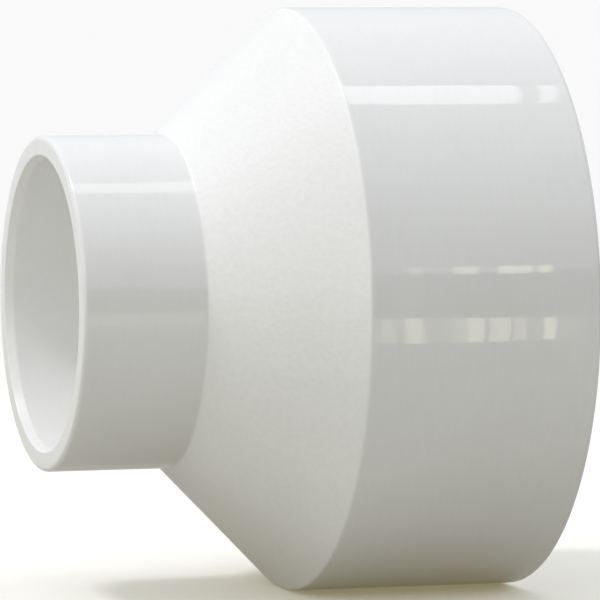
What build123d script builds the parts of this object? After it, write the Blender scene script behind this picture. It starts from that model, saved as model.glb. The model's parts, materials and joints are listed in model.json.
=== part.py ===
from build123d import *

import os
from math import radians, sin, tan

# Pipe reducer for a drain line: a large and a small cement socket, joined by a cone on one axis.
# It is a single plastic moulding, so it is one solid, a section turned about the flow axis.
# That axis is X. The small socket opens towards -X and the large one towards +X, and the origin
# is the centre of the large socket's floor, where the large pipe's end seats. Lengths are in mm.

# The pipes that the sockets take, and the room for cement on each diameter.
large_pipe_diameter = 88.9
large_pipe_wall = 5.5
small_pipe_diameter = 48.3
small_pipe_wall = 3.7
cement_clearance = 0.3

# The hubs around the sockets. A stop land is the stretch of hub behind a socket's floor.
large_socket_depth = 38.1
small_socket_depth = 17.5
large_hub_wall = 4.9
small_hub_wall = 3.9
large_stop_land = 1.4
small_stop_land = 3.5

# The cone between the hubs.
cone_half_angle = 45
cone_wall = 5.0

# The bevel that guides a pipe into its socket: its length along the axis, and its step in radius.
lead_in_length = 1.5
lead_in_step = 0.6

# Rounded edges, outside and then inside.
rim_radius = 0.75
shoulder_radius = 1.0
neck_radius = 1.0
stop_radius = 0.5
flow_radius = 2.0

# Radii, each from the pipe that it fits. A waterway is level with the inside of its pipe.
large_socket_radius = (large_pipe_diameter + cement_clearance) / 2
small_socket_radius = (small_pipe_diameter + cement_clearance) / 2
large_hub_radius = large_socket_radius + large_hub_wall
small_hub_radius = small_socket_radius + small_hub_wall
large_waterway_radius = large_pipe_diameter / 2 - large_pipe_wall
small_waterway_radius = small_pipe_diameter / 2 - small_pipe_wall

# Stations along the axis, from the large mouth to the small one.
large_stop = 0
large_mouth = large_stop + large_socket_depth
shoulder = large_stop - large_stop_land
neck = shoulder - (large_hub_radius - small_hub_radius) / tan(radians(cone_half_angle))
small_stop = neck - small_stop_land
small_mouth = small_stop - small_socket_depth


def inner_cone_station(radius):
    """The station where the inside of the cone has this radius, one cone wall within the outside."""
    outer_station = shoulder - (large_hub_radius - radius) / tan(radians(cone_half_angle))
    return outer_station + cone_wall / sin(radians(cone_half_angle))


large_flow_corner = inner_cone_station(large_waterway_radius)
small_flow_corner = inner_cone_station(small_waterway_radius)


def corners(outline, *places):
    """The outline's corners at these places, each a station and a radius."""
    return [outline.vertices().sort_by_distance(place)[0] for place in places]


with BuildPart() as reducer_body:
    with BuildSketch(Plane.XZ) as section:
        with BuildLine():
            # The outside, from the large mouth to the small one.
            outside = Polyline(
                (large_mouth, large_hub_radius),
                (shoulder, large_hub_radius),
                (neck, small_hub_radius),
                (small_mouth, small_hub_radius),
            )
            # The small socket, the waterway through the cone, and the large socket.
            inside = Polyline(
                (small_mouth, small_socket_radius + lead_in_step),
                (small_mouth + lead_in_length, small_socket_radius),
                (small_stop, small_socket_radius),
                (small_stop, small_waterway_radius),
                (small_flow_corner, small_waterway_radius),
                (large_flow_corner, large_waterway_radius),
                (large_stop, large_waterway_radius),
                (large_stop, large_socket_radius),
                (large_mouth - lead_in_length, large_socket_radius),
                (large_mouth, large_socket_radius + lead_in_step),
            )
            # The flat end faces that join them.
            Line(outside @ 1, inside @ 0)
            Line(inside @ 1, outside @ 0)
        make_face()

        rims = corners(section, (large_mouth, large_hub_radius), (small_mouth, small_hub_radius))
        fillet(rims, rim_radius)
        fillet(corners(section, (shoulder, large_hub_radius)), shoulder_radius)
        fillet(corners(section, (neck, small_hub_radius)), neck_radius)

        large_stop_edge = (large_stop, large_waterway_radius)
        small_stop_edge = (small_stop, small_waterway_radius)
        fillet(corners(section, large_stop_edge, small_stop_edge), stop_radius)

        large_flow_edge = (large_flow_corner, large_waterway_radius)
        small_flow_edge = (small_flow_corner, small_waterway_radius)
        fillet(corners(section, large_flow_edge, small_flow_edge), flow_radius)
    revolve(axis=Axis.X)

reducer_body.part.label = "reducer_body"

os.makedirs("parts", exist_ok=True)
export_step(reducer_body.part, "parts/reducer_body.step")
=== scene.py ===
# %% [markdown]
# # A moulded pipe reducer
# The real object is one piece of white plastic: a large hub and a small hub, each with a socket
# that a pipe is cemented into, and a cone that joins them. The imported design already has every
# size right. What it lacks is what a mould gives to plastic: softened edges, a polished finish
# on the hubs and a satin one on the cone, and the fine line where the mould's halves met. This
# lesson turns that skin as one new surface, finishes it, and lights it.

# %% Load the frame
import json
import math

import bpy
import numpy as np
from mathutils import Matrix, Vector
from mathutils.bvhtree import BVHTree


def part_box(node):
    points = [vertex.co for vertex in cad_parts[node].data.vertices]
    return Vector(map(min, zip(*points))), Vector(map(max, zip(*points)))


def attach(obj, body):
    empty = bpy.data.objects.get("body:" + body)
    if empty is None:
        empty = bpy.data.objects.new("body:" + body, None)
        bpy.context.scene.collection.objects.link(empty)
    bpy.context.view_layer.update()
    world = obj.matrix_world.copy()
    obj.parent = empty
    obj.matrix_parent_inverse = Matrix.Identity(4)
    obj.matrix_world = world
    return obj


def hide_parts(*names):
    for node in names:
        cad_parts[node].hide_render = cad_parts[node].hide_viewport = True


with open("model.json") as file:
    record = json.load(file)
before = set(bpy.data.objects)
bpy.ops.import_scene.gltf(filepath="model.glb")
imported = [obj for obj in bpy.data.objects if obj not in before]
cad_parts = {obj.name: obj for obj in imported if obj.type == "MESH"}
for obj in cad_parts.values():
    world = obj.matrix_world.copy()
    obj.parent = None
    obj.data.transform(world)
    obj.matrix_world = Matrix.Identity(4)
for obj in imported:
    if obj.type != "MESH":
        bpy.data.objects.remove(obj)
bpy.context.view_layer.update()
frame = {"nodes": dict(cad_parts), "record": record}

# %% [markdown]
# ## The sizes
# A fitting is drawn as stations along its axis, and a radius at each. The mouths and the large
# hub come from the design's box, and the sockets from its mounts. The rest of the section is
# written here once, and is tested against the design as soon as the surface is made.

# %% Stations and radii
low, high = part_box("reducer_body")
mounts = {mount["name"]: mount for mount in frame["record"]["mounts"]}

large_mouth, small_mouth, large_hub_radius = high.x, low.x, high.y
large_stop = mounts["large_socket"]["pos_m"][0]
small_stop = mounts["small_socket"]["pos_m"][0]
large_socket_radius = mounts["large_socket"]["dims"]["r_mm"] / 1000
small_socket_radius = mounts["small_socket"]["dims"]["r_mm"] / 1000
lead_in_length = large_mouth - large_stop - mounts["large_socket"]["dims"]["length_mm"] / 1000

small_hub_wall = 0.0039
lead_in_step = 0.0006
large_waterway_radius = 0.03895
small_waterway_radius = 0.02045
large_stop_land = 0.0014
small_stop_land = 0.0035
cone_wall = 0.005

small_hub_radius = small_socket_radius + small_hub_wall
shoulder = large_stop - large_stop_land
neck = small_stop + small_stop_land
cone_half_angle = math.atan2(large_hub_radius - small_hub_radius, shoulder - neck)
print(f"cone half angle {math.degrees(cone_half_angle):.2f} degrees")


def inner_cone_station(radius):
    """The station of a radius on the inside of the cone: the outer cone, moved by its wall."""
    outer_station = shoulder - (large_hub_radius - radius) / math.tan(cone_half_angle)
    return outer_station + cone_wall / math.sin(cone_half_angle)


# %% [markdown]
# ## The section as one line
# Molten plastic can't fill a sharp corner, and a mould's steel doesn't keep one, so every edge
# is an arc, large or small. A bevel modifier could soften them after the event, but it would
# treat all edges alike. Here each corner of the section carries its own radius, so the mouth's
# rim, the shoulder and the neck are each as round as they are on the real one.

# %% Corners of the section
rim_radius = 0.00075
shoulder_radius = 0.001
neck_radius = 0.001
stop_radius = 0.0005
flow_radius = 0.002
lead_in_radius = 0.001
soft_edge = 0.0002

corner_list = [
    # station, radius, rounding
    (large_mouth, large_hub_radius, rim_radius),
    (shoulder, large_hub_radius, shoulder_radius),
    (neck, small_hub_radius, neck_radius),
    (small_mouth, small_hub_radius, rim_radius),
    (small_mouth, small_socket_radius + lead_in_step, soft_edge),
    (small_mouth + lead_in_length, small_socket_radius, lead_in_radius),
    (small_stop, small_socket_radius, soft_edge),
    (small_stop, small_waterway_radius, stop_radius),
    (inner_cone_station(small_waterway_radius), small_waterway_radius, flow_radius),
    (inner_cone_station(large_waterway_radius), large_waterway_radius, flow_radius),
    (large_stop, large_waterway_radius, stop_radius),
    (large_stop, large_socket_radius, soft_edge),
    (large_mouth - lead_in_length, large_socket_radius, lead_in_radius),
    (large_mouth, large_socket_radius + lead_in_step, soft_edge),
]


def rounded_loop(corners, arc_steps, row_gap, guard):
    """A closed line through the corners, with an arc at each.

    At a corner the line turns from direction u to direction w. The arc starts a tangent length
    before it, its rounding times the tangent of half the turn, and its centre lies one rounding
    to the inner side. The straight runs between arcs get evenly spaced points, and a guard
    point close to each arc, which keeps the shading of the run flat.
    """
    place, rounding = corners[:, :2], corners[:, 2]
    run = np.roll(place, -1, axis=0) - place
    w = run / np.linalg.norm(run, axis=1)[:, None]
    u = np.roll(w, 1, axis=0)
    turn = np.arctan2(u[:, 0] * w[:, 1] - u[:, 1] * w[:, 0], (u * w).sum(axis=1))
    side = np.sign(turn)[:, None] * np.stack([-u[:, 1], u[:, 0]], axis=1)
    tangent = rounding * np.tan(np.abs(turn) / 2)
    centre = place - u * tangent[:, None] + side * rounding[:, None]
    swept = np.linspace(0, 1, arc_steps + 1)[None, :, None] * np.abs(turn)[:, None, None]
    arcs = centre[:, None] + rounding[:, None, None] * (
        u[:, None] * np.sin(swept) - side[:, None] * np.cos(swept)
    )
    rows = []
    for arc, following, direction in zip(arcs, np.roll(arcs, -1, axis=0), w):
        start, end = arc[-1] + direction * guard, following[0] - direction * guard
        length = np.linalg.norm(end - start)
        share = np.linspace(0, 1, max(2, math.ceil(length / row_gap) + 1))[:, None]
        rows += [arc, start + share * (end - start)]
    return np.concatenate(rows)


arc_steps = 6
row_gap = 0.0014
guard = 0.00012
section = rounded_loop(np.array(corner_list), arc_steps, row_gap, guard)
print(f"section: {len(corner_list)} corners, {len(section)} points")

# %% [markdown]
# ## Where the surface is polished
# The steel around the hubs is polished, so they mirror the room. The cone is left with the
# satin of a spark-eroded surface, and the end faces, sockets and waterways are in between. Two
# materials could do it, but their border would have to follow whole faces. Here a number for
# each row says how satin it is, from 0 to 1, and the one material reads it.

# %% Finish of each row
station, radius = section[:, 0], section[:, 1]
outer_cone_radius = large_hub_radius - (shoulder - station) * math.tan(cone_half_angle)
skin = 0.0005
on_outside = radius > np.clip(outer_cone_radius, small_hub_radius, large_hub_radius) - skin
on_cone = on_outside & (station > neck) & (station < shoulder)
on_hub = on_outside & ~on_cone
hub_finish, inner_finish, cone_finish = 0.0, 0.45, 1.0
finish = np.where(on_cone, cone_finish, np.where(on_hub, hub_finish, inner_finish))
print("rows: hub", int(on_hub.sum()), "cone", int(on_cone.sum()), "inside", int((~on_outside).sum()))

# %% [markdown]
# ## Turning it
# Spin would turn the line in one call, but its columns are evenly spaced, and the parting line
# needs some that are closer together. So the surface is computed: a row for each point of the
# section, a column for each angle, with extra columns beside the two places, at the top and
# bottom, where the mould's halves met.

# %% Angles of the columns
parting_angles = np.array([math.pi / 2, 3 * math.pi / 2])
parting_width = 0.00022
even_columns = 360
column_angle = 2 * math.pi / even_columns
beside = np.array([-2.5, -1.5, -1, -0.5, 0, 0.5, 1, 1.5, 2.5]) * parting_width / large_hub_radius
even = np.arange(even_columns) * column_angle + column_angle / 2
gap = np.abs(even[:, None] - parting_angles[None, :]).min(axis=1)
even = even[gap > beside.max() + column_angle / 4]
angle = np.sort(np.concatenate([even, (parting_angles[:, None] + beside).ravel()]))
print(f"{len(angle)} columns, {len(angle) * len(section)} quads")


def section_normals(line):
    """The unit normal at each point of a closed line: the chord of its neighbours, turned."""
    chord = np.roll(line, -1, axis=0) - np.roll(line, 1, axis=0)
    normal = np.stack([chord[:, 1], -chord[:, 0]], axis=1)
    return normal / np.linalg.norm(normal, axis=1)[:, None]


def shrinkage(station, angle):
    """How far the plastic has drawn in as it cooled, as a sum of slow waves along and around."""
    waves = [
        # depth, waves around, length of a wave along the axis, phase
        (6.0e-6, 3, 0.046, 0.4),
        (4.0e-6, 7, 0.023, 2.1),
        (5.0e-6, 23, 0.062, 4.0),
        (4.0e-6, 31, 0.045, 1.3),
    ]
    total = np.zeros(np.broadcast(station, angle).shape)
    for depth, around, along, phase in waves:
        total += depth * (1 + np.sin(around * angle + 2 * math.pi * station / along + phase))
    return total


def turned_surface(line, outside, angle):
    """The section carried around the axis: a row for each of its points, a column for each angle.

    A point is (station, radius cos angle, radius sin angle). It is moved in along the surface's
    normal by the shrinkage, and outside, away from the parting line, by the line's height.
    """
    normal = section_normals(line)
    station, radius = line[:, :1], line[:, 1:]
    away = np.abs(angle[:, None] - parting_angles[None, :]).min(axis=1)
    line_height = 0.00003
    ridge = np.exp(-((away * large_hub_radius / parting_width) ** 2))
    sink = shrinkage(station, angle[None, :])
    sink = sink + outside[:, None] * line_height * (1 - ridge[None, :])
    across, out = normal[:, :1], normal[:, 1:]
    x = station - across * sink
    r = radius - out * sink
    return np.stack([x, r * np.cos(angle), r * np.sin(angle)], axis=2)


grid = turned_surface(section, on_outside, angle)

# %% [markdown]
# ## From a grid to a mesh
# Each quad joins a point, its neighbour around, and the same two of the next row. Both
# directions close on themselves, so the surface is a ring with no seam and no pole. The signed
# volume says whether its faces point outwards, and how much plastic it holds.


# %% Make the mesh
def closed_grid_mesh(name, grid):
    """A mesh from a grid of points that closes on itself both ways, its faces turned outwards.

    The signed volume is the sum of (a x b) . c / 6 over the two triangles of every quad.
    """
    rows, columns = grid.shape[:2]
    index = np.arange(rows * columns).reshape(rows, columns)
    below = np.roll(index, -1, axis=0)
    quads = np.stack(
        [index, below, np.roll(below, -1, axis=1), np.roll(index, -1, axis=1)], axis=2
    ).reshape(-1, 4)
    points = grid.reshape(-1, 3)
    a, b, c, d = (points[quads[:, k]] for k in range(4))
    volume = (np.cross(a, b) * c + np.cross(a, c) * d).sum() / 6
    if volume < 0:
        quads, volume = quads[:, ::-1], -volume
    mesh = bpy.data.meshes.new(name)
    mesh.vertices.add(len(points))
    mesh.vertices.foreach_set("co", points.ravel())
    mesh.loops.add(quads.size)
    mesh.loops.foreach_set("vertex_index", quads.ravel())
    mesh.polygons.add(len(quads))
    mesh.polygons.foreach_set("loop_start", np.arange(0, quads.size, 4))
    mesh.polygons.foreach_set("use_smooth", np.ones(len(quads), dtype=bool))
    mesh.update(calc_edges=True)
    mesh.validate()
    print(f"{name}: {len(quads)} quads, {volume * 1e6:.1f} cubic centimetres")
    return mesh


moulding = bpy.data.objects.new("moulding", closed_grid_mesh("moulding", grid))
bpy.context.scene.collection.objects.link(moulding)
finish_layer = moulding.data.attributes.new("finish", "FLOAT", "POINT")
finish_layer.data.foreach_set("value", np.repeat(finish, len(angle)).astype(np.float32))

# %% [markdown]
# ## Testing it against the design
# The new surface stands for the design's node, so it has to lie on it. The distance is
# measured from points spread over the new surface to the design's own faces. Where the design
# has only a few facets around a rounding, about a tenth of a millimetre is the facets' own.

# %% Measure the distance
design_mesh = frame["nodes"]["reducer_body"].data
design_faces = BVHTree.FromPolygons(
    [v.co for v in design_mesh.vertices], [tuple(p.vertices) for p in design_mesh.polygons]
)
probe_step = 97
probes = grid.reshape(-1, 3)[::probe_step]
off = np.array([design_faces.find_nearest(Vector(p))[3] for p in probes])
print(f"distance to the design: mean {off.mean() * 1e3:.3f} mm, most {off.max() * 1e3:.3f} mm")

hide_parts("reducer_body")
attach(moulding, "root")

# %% [markdown]
# ## White plastic
# The plastic is filled with white pigment, so light enters only a little way, which softens
# the shadows at its edges. Its colour is almost even: faint clouds where the melt streams met,
# a fine mottle on the satin cone, and short faint streaks around the polished hubs, which the
# turned steel left there. An image of plastic could be wrapped around it, but noise that reads
# object coordinates has no seam and stays in place.


# %% Helpers for the shader
def node(tree, kind, inputs=None, **settings):
    """A shader node with these settings: its inputs by name or number, and plain properties."""
    made = tree.nodes.new(kind)
    for name, value in settings.items():
        setattr(made, name, value)
    for name, value in (inputs or {}).items():
        made.inputs[name].default_value = value
    return made


def noise(tree, place, scale, detail, stretch=(1.0, 1.0, 1.0)):
    """A socket of noise at a place. A stretch under 1 makes it longer along that axis."""
    along = node(tree, "ShaderNodeMapping", inputs={"Scale": stretch})
    made = node(tree, "ShaderNodeTexNoise", inputs={"Scale": scale, "Detail": detail})
    tree.links.new(place, along.inputs["Vector"])
    tree.links.new(along.outputs["Vector"], made.inputs["Vector"])
    return made.outputs["Fac"]


def spread(tree, value, start, end, lowest=0.3, highest=0.7):
    """A socket that goes from start to end as the value goes from lowest to highest."""
    limits = {"From Min": lowest, "From Max": highest, "To Min": start, "To Max": end}
    made = node(tree, "ShaderNodeMapRange", inputs=limits)
    tree.links.new(value, made.inputs["Value"])
    return made.outputs["Result"]


def blend(tree, factor, first, second):
    """A socket that goes from the first value to the second as the factor goes from 0 to 1."""
    made = node(tree, "ShaderNodeMix")
    tree.links.new(factor, made.inputs[0])
    tree.links.new(first, made.inputs[2])
    tree.links.new(second, made.inputs[3])
    return made.outputs[0]


def times(tree, first, second):
    """A socket of one colour times another."""
    made = node(tree, "ShaderNodeMix", data_type="RGBA", blend_type="MULTIPLY", inputs={0: 1.0})
    tree.links.new(first, made.inputs[6])
    tree.links.new(second, made.inputs[7])
    return made.outputs[2]


def soft_step(tree, value, start, end):
    """A socket that goes smoothly from 0 to 1 as the value goes from start to end."""
    limits = {"From Min": start, "From Max": end}
    step = node(tree, "ShaderNodeMapRange", interpolation_type="SMOOTHSTEP", inputs=limits)
    tree.links.new(value, step.inputs["Value"])
    return step.outputs["Result"]


def grey(level):
    """A colour with the same level in all three channels."""
    return (level, level, level, 1)


# %% [markdown]
# ## The plastic's shader
# One material holds all the finishes, and reads which is which from the number on each row.
# Painted light and shade: the inside is painted the whitest, the cone a little less, and the hubs
# darkest. The gloss varies a little, as from hands. The bumps are a fraction of a micrometre on
# the hubs, or their mirror images would break up, and a few tens of micrometres on the cone.

# %% The plastic's numbers
plastic_ior = 1.53
glow_weight, glow_radius, glow_scale = 0.08, (1.0, 0.9, 0.8), 0.0012
cloud_scale, cloud_dark, cloud_light = 38.0, (0.905, 0.905, 0.895, 1), (0.935, 0.935, 0.925, 1)
# Painted light and shade: the one plastic is painted lighter inside and on the cone, darker on the
# hubs.
hub_painted_shade, inner_painted_light, cone_painted_light = 0.94, 1.0, 0.98
around = (1.0, 0.14, 0.14)
streak_scale, streak_depth = 1800.0, 0.02
mottle_scale, mottle_depth = 1050.0, 0.035
polished_roughness, satin_roughness = 0.025, 0.46
smudge_scale, smudge_depth, smudge_limits = 90.0, 0.02, (0.35, 0.75)
far_around = (1.0, 0.02, 0.02)
turned_scale, turned_height = 900.0, 0.0000005
grain_height = 0.00006


# %% The plastic's material
def white_pvc():
    """Moulded white plastic: gloss and streaks where finish is 0, satin grain where it is 1."""
    material = bpy.data.materials.new("white_pvc")
    material.use_nodes = True
    tree = material.node_tree
    link = tree.links.new
    shader = tree.nodes["Principled BSDF"]
    shader.inputs["IOR"].default_value = plastic_ior
    shader.inputs["Subsurface Weight"].default_value = glow_weight
    shader.inputs["Subsurface Radius"].default_value = glow_radius
    shader.inputs["Subsurface Scale"].default_value = glow_scale
    place = node(tree, "ShaderNodeTexCoord").outputs["Object"]
    satin = node(tree, "ShaderNodeAttribute", attribute_name="finish").outputs["Fac"]

    cloud = node(tree, "ShaderNodeValToRGB")
    cloud.color_ramp.elements[0].color = cloud_dark
    cloud.color_ramp.elements[1].color = cloud_light
    link(spread(tree, noise(tree, place, cloud_scale, 3.0), 0.0, 1.0), cloud.inputs["Fac"])
    # Painted light and shade by finish: a darker white on the hubs, lighter on the cone, lightest
    # inside.
    painted_light_and_shade = node(tree, "ShaderNodeValToRGB")
    on_polished, on_satin = painted_light_and_shade.color_ramp.elements
    on_polished.color, on_satin.color = grey(hub_painted_shade), grey(cone_painted_light)
    painted_light_and_shade.color_ramp.elements.new(inner_finish).color = grey(inner_painted_light)
    link(satin, painted_light_and_shade.inputs["Fac"])
    streaks = noise(tree, place, streak_scale, 2.0, stretch=around)
    mottle = noise(tree, place, mottle_scale, 3.0)
    on_hubs = spread(tree, streaks, 1.0 - streak_depth, 1.0)
    on_the_cone = spread(tree, mottle, 1.0 - mottle_depth, 1.0)
    marks = blend(tree, satin, on_hubs, on_the_cone)
    colour = times(tree, times(tree, cloud.outputs["Color"], painted_light_and_shade.outputs["Color"]), marks)
    link(colour, shader.inputs["Base Color"])

    touched = noise(tree, place, smudge_scale, 4.0)
    smudges = spread(tree, touched, 0.0, smudge_depth, *smudge_limits)
    moulded = spread(tree, satin, polished_roughness, satin_roughness, 0.0, 1.0)
    roughness = node(tree, "ShaderNodeMath", operation="ADD")
    link(smudges, roughness.inputs[0])
    link(moulded, roughness.inputs[1])
    link(roughness.outputs["Value"], shader.inputs["Roughness"])

    turned = node(tree, "ShaderNodeBump", inputs={"Distance": turned_height})
    link(noise(tree, place, turned_scale, 3.0, stretch=far_around), turned.inputs["Height"])
    grained = node(tree, "ShaderNodeBump", inputs={"Distance": grain_height})
    link(mottle, grained.inputs["Height"])
    link(satin, grained.inputs["Strength"])
    link(turned.outputs["Normal"], grained.inputs["Normal"])
    link(grained.outputs["Normal"], shader.inputs["Normal"])
    return material


moulding.data.materials.append(white_pvc())
print("plastic:", len(moulding.active_material.node_tree.nodes), "nodes")

# %% [markdown]
# ## The floor
# The reducer lies on its large hub. A plain pale floor under it catches its shadow, and fades
# out before its edge, so that no line shows behind the object from any side. A white floor
# would throw so much light up that the underside looks flat. In a studio, dark paper just out
# of view mends that. A Light Path node does the same: the paint is pale to the camera, and
# darker to the light that bounces. A weak glow, as of a light table, keeps the last few
# millimetres above the floor from going black. One plane would do as its shape, but rings and
# spokes let it end in a circle.

# %% Floor
floor_height = low.z
floor_reach = 1.6
ring_count, spoke_count = 24, 96
ring = np.linspace(0, floor_reach, ring_count)[:, None]
spoke = np.linspace(0, 2 * math.pi, spoke_count + 1)[None, :]
level = np.full((ring_count, spoke_count + 1), floor_height)
floor_points = np.stack([ring * np.cos(spoke), ring * np.sin(spoke), level], axis=2)
index = np.arange(level.size).reshape(level.shape)
floor_quads = np.stack([index[:-1, :-1], index[1:, :-1], index[1:, 1:], index[:-1, 1:]], axis=2)
floor_mesh = bpy.data.meshes.new("floor")
floor_mesh.from_pydata(floor_points.reshape(-1, 3).tolist(), [], floor_quads.reshape(-1, 4).tolist())
floor = bpy.data.objects.new("floor", floor_mesh)
bpy.context.scene.collection.objects.link(floor)
print(f"floor: {len(floor_mesh.polygons)} quads at {floor_height * 1000:.1f} mm")


# %% The floor's paint
floor_seen, floor_bounced = (0.88, 0.88, 0.87, 1), (0.36, 0.36, 0.35, 1)
floor_roughness, floor_shine = 0.9, 0.1
table_glow, table_strength = (1.0, 0.88, 0.52, 1), 0.125
fade_start, fade_end = 0.25, 1.4


def floor_paint():
    """Matt paint, pale to the camera and darker to bounced light, clear towards the rim."""
    material = bpy.data.materials.new("floor_paint")
    material.use_nodes = True
    tree = material.node_tree
    link = tree.links.new
    paint = tree.nodes["Principled BSDF"]
    paint.inputs["Roughness"].default_value = floor_roughness
    paint.inputs["Specular IOR Level"].default_value = floor_shine
    paint.inputs["Emission Color"].default_value = table_glow
    paint.inputs["Emission Strength"].default_value = table_strength

    ray = node(tree, "ShaderNodeLightPath")
    shade = node(tree, "ShaderNodeMix", data_type="RGBA")
    bounced, seen = shade.inputs[6], shade.inputs[7]
    bounced.default_value = floor_bounced
    seen.default_value = floor_seen
    link(ray.outputs["Is Camera Ray"], shade.inputs[0])
    link(shade.outputs[2], paint.inputs["Base Color"])

    place = node(tree, "ShaderNodeTexCoord")
    away = node(tree, "ShaderNodeVectorMath", operation="LENGTH")
    clear = node(tree, "ShaderNodeBsdfTransparent")
    rim = node(tree, "ShaderNodeMixShader")
    link(place.outputs["Object"], away.inputs[0])
    link(soft_step(tree, away.outputs["Value"], fade_start, fade_end), rim.inputs["Fac"])
    link(paint.outputs["BSDF"], rim.inputs[1])
    link(clear.outputs["BSDF"], rim.inputs[2])
    link(rim.outputs["Shader"], tree.nodes["Material Output"].inputs["Surface"])
    return material


floor.data.materials.append(floor_paint())

# %% [markdown]
# ## The camera
# It stands far back with a long lens, a little above the axis, and round to the small end's
# side, so that the small mouth opens towards it. A short lens close by would make the small end
# look too big. Two angles, a distance and an aim say where it stands more plainly than a
# location would, and turning it is then a change of one angle.

# %% Camera
azimuth, elevation = math.radians(-17.3), math.radians(3.55)
focal_length, film_width = 317.6, 36.0
distance = 0.9
aim = Vector((0.0018, 0.0, -0.0002))
back = Vector(
    (
        math.sin(azimuth) * math.cos(elevation),
        -math.cos(azimuth) * math.cos(elevation),
        math.sin(elevation),
    )
)
camera_data = bpy.data.cameras.new("camera")
camera_data.lens, camera_data.sensor_width = focal_length, film_width
camera_data.clip_start, camera_data.clip_end = 0.05, 50.0
camera = bpy.data.objects.new("camera", camera_data)
bpy.context.scene.collection.objects.link(camera)
camera.location = aim + back * distance
camera.rotation_mode = "QUATERNION"
camera.rotation_quaternion = (-back).to_track_quat("-Z", "Y")
bpy.context.scene.camera = camera
print("camera, mm:", [round(v * 1000, 1) for v in camera.location])

# %% [markdown]
# ## Where a lamp shows
# Polished plastic mirrors the room, and its roundness is read from where the lamps show on it.
# Moving lamps by hand until their reflections sit right is slow. The mirror law says it at
# once: follow the camera's line to a spot on the hub, and turn it back about the normal there.
# A lamp on that second line shows at that spot.


# %% The mirror law
def mirrored(station, lean, reach):
    """The point that far along the line that a spot on the large hub sends on from the camera.

    The spot's normal n leans up by an angle in degrees. A line of direction d that meets it
    goes on as d - 2 (d . n) n.
    """
    normal = Vector((0, -math.cos(math.radians(lean)), math.sin(math.radians(lean))))
    spot = normal * large_hub_radius + Vector((station, 0, 0))
    return spot + (spot - camera.location).normalized().reflect(normal) * reach


def lamp(name, centre, side, up, radiance, color):
    """A rectangular lamp: its centre, and the vectors along its width and its height.

    It shines along side x up, and its power is radiance times area times pi.
    """
    data = bpy.data.lights.new(name, "AREA")
    data.shape = "RECTANGLE"
    data.size, data.size_y = side.length, up.length
    data.energy = radiance * side.length * up.length * math.pi
    data.color = color
    made = bpy.data.objects.new(name, data)
    bpy.context.scene.collection.objects.link(made)
    across = side.normalized()
    behind = across.cross(up).normalized()
    turn = Matrix((across, behind.cross(across), behind)).transposed().to_4x4()
    made.matrix_world = Matrix.Translation(centre) @ turn
    made.visible_camera = False
    return made


def soft_box(name, centre, width, height, radiance, color):
    """A rectangular lamp that faces the origin."""
    behind = Vector(centre).normalized()
    side = Vector((0, 1, 0)).cross(behind).normalized()
    return lamp(name, Vector(centre), side * width, behind.cross(side) * height, radiance, color)


def reflected_card(name, stations, leans, reach, radiance, color):
    """A card that shows on the large hub between two stations and two leans of the normal.

    Only glossy rays see it, so it adds a reflection and no light.
    """
    left, right = (mirrored(station, sum(leans) / 2, reach) for station in stations)
    bottom, top = (mirrored(sum(stations) / 2, lean, reach) for lean in leans)
    made = lamp(name, (left + right) / 2, right - left, top - bottom, radiance, color)
    made.visible_diffuse = False
    return made


# %% [markdown]
# ## The light
# A long strip lamp hangs overhead. It ends at the right, so its reflection on the large hub
# ends there too, and a second, short one follows after a gap. To the left it goes on, weaker,
# over the small hub. A soft box high on the left is the key: it brightens the cone and throws
# the small mouth's shadow into the socket. A weaker one stands low on the left, and fills the
# bore. The third stands on the right, for the inside of the large mouth. How bright each one is
# was worked out by adding up renders that were lit by one lamp at a time.

# %% Lamps
cool, warm = (0.96, 0.98, 1.0), (1.0, 0.95, 0.70)
strip_stations = (-0.006, 0.0292)
strip_leans, strip_reach, strip_radiance = (43.3, 48.1), 0.62, 2.4
strip = reflected_card("strip", strip_stations, strip_leans, strip_reach, strip_radiance, cool)
strip.visible_diffuse = True
tail_stations = (0.0325, 0.0353)
rest_length, rest_radiance = 1.0, strip_radiance * 0.7
strip_width = strip.data.size_y
rest_centre = strip.location - Vector(((strip.data.size + rest_length) / 2, 0, 0))
rest_sides = Vector((rest_length, 0, 0)), Vector((0, strip_width, 0))
lamp("strip_rest", rest_centre, *rest_sides, rest_radiance, cool)
reflected_card("strip_tail", tail_stations, strip_leans, strip_reach, strip_radiance, cool)

soft_boxes = [
    # name, centre, width, height, radiance, colour
    ("key", (-0.58, 0.17, 1.03), 0.2, 0.2, 32.0, (1.0, 0.97, 1.0)),
    ("fill", (-1.1, -0.55, 0.25), 0.6, 0.5, 2.3, (1.0, 0.99, 0.88)),
    ("side", (1.2, 0.3, 0.4), 0.6, 0.6, 1.5, (1.0, 1.0, 1.0)),
]
for box in soft_boxes:
    soft_box(*box)
print(f"strip: {strip_width * 1000:.0f} mm wide, and {len(soft_boxes)} soft boxes")

# %% [markdown]
# ## What the hub mirrors
# Across the room is a row of small windows, and nearer a low shelf with things on it. They
# show on the front of the large hub as a thin broken line and a faint band with bright bars.
# An image of a room around the scene could give them, but these few cards are placed by the
# mirror law, in stations and leans on the hub itself.

# %% Cards
def row_of_cards(name, cards, leans, reach, brightness):
    """A card for each row of a table: where it starts and ends, and its share of brightness."""
    for number, (start, end, share) in enumerate(cards):
        reflected_card(f"{name}_{number}", (start, end), leans, reach, share * brightness, warm)


window_leans, window_reach, window_radiance = (7.7, 9.2), 0.3, 3.0
windows = [
    # start, end, share of the brightness
    (0.0049, 0.0075, 0.5),
    (0.0130, 0.0167, 0.8),
    (0.0201, 0.0267, 1.0),
    (0.0279, 0.0302, 1.1),
]
row_of_cards("window", windows, window_leans, window_reach, window_radiance)
sill_stations, sill_leans, sill_radiance = (0.006, 0.031), (8.0, 8.9), 0.5
reflected_card("sill", sill_stations, sill_leans, window_reach, sill_radiance, warm)

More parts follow.
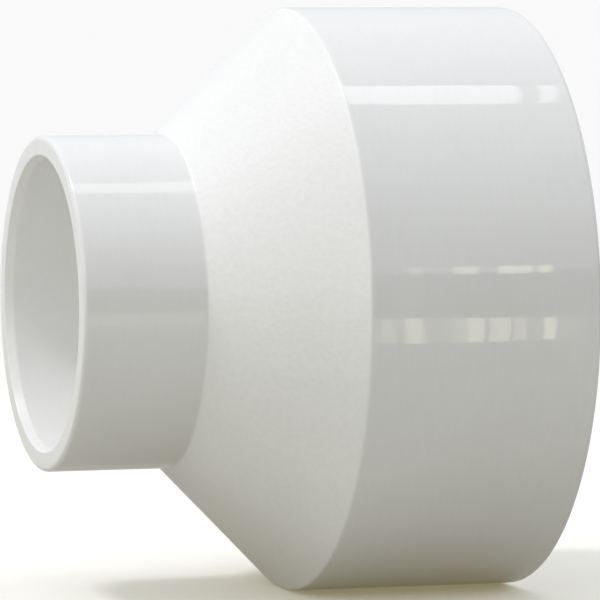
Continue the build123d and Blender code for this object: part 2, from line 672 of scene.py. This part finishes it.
thing_leans, thing_reach, thing_radiance = (-5.0, -0.5), 0.15, 2.6
things = [
    # start, end, share of the brightness
    (-0.0025, -0.0005, 0.2),
    (0.0003, 0.0027, 0.4),
    (0.0045, 0.0075, 0.9),
    (0.0123, 0.0145, 0.4),
    (0.0147, 0.0177, 1.0),
    (0.0187, 0.0225, 0.8),
    (0.0231, 0.0253, 0.5),
    (0.0283, 0.0302, 1.2),
]
row_of_cards("thing", things, thing_leans, thing_reach, thing_radiance)
shelf_stations, shelf_radiance = (-0.042, 0.0340), 0.45
reflected_card("shelf", shelf_stations, thing_leans, thing_reach, shelf_radiance, warm)
print(f"{len(windows)} windows over a sill, {len(things)} things on a shelf")

# %% [markdown]
# ## The room
# The room is cool above and dark below, and the change shows as a soft line on the polished
# hub. Behind the object hangs white paper, which brightens its outline. A sky texture would
# give more colours, but this room needs only two, and one rule for where each of them is.

# %% Room
room_strength = 0.81
room_dark, room_lit = (0.05, 0.05, 0.04, 1), (0.94, 0.97, 1.0, 1)
rises, faces_backdrop = (0.19, 0.23), (0.6, 0.9)
paper_strength = 0.95


def room():
    """Light from all round: lit where the direction rises or points to the backdrop, else dark."""
    world = bpy.data.worlds.new("room")
    world.use_nodes = True
    tree = world.node_tree
    link = tree.links.new
    light = tree.nodes["Background"]
    light.inputs["Strength"].default_value = room_strength
    way = node(tree, "ShaderNodeTexCoord")
    split = node(tree, "ShaderNodeSeparateXYZ")
    link(way.outputs["Generated"], split.inputs["Vector"])
    lit = node(tree, "ShaderNodeMath", operation="MAXIMUM")
    link(soft_step(tree, split.outputs["Z"], *rises), lit.inputs[0])
    link(soft_step(tree, split.outputs["Y"], *faces_backdrop), lit.inputs[1])
    colour = node(tree, "ShaderNodeMix", data_type="RGBA", inputs={6: room_dark, 7: room_lit})
    link(lit.outputs["Value"], colour.inputs[0])
    link(colour.outputs[2], light.inputs["Color"])

    paper = node(tree, "ShaderNodeBackground")
    paper.inputs["Color"].default_value = grey(1.0)
    paper.inputs["Strength"].default_value = paper_strength
    ray = node(tree, "ShaderNodeLightPath")
    seen = node(tree, "ShaderNodeMixShader")
    link(ray.outputs["Is Camera Ray"], seen.inputs["Fac"])
    link(light.outputs["Background"], seen.inputs[1])
    link(paper.outputs["Background"], seen.inputs[2])
    link(seen.outputs["Shader"], tree.nodes["World Output"].inputs["Surface"])
    return world


bpy.context.scene.world = room()
bpy.context.scene.view_settings.view_transform = "Standard"
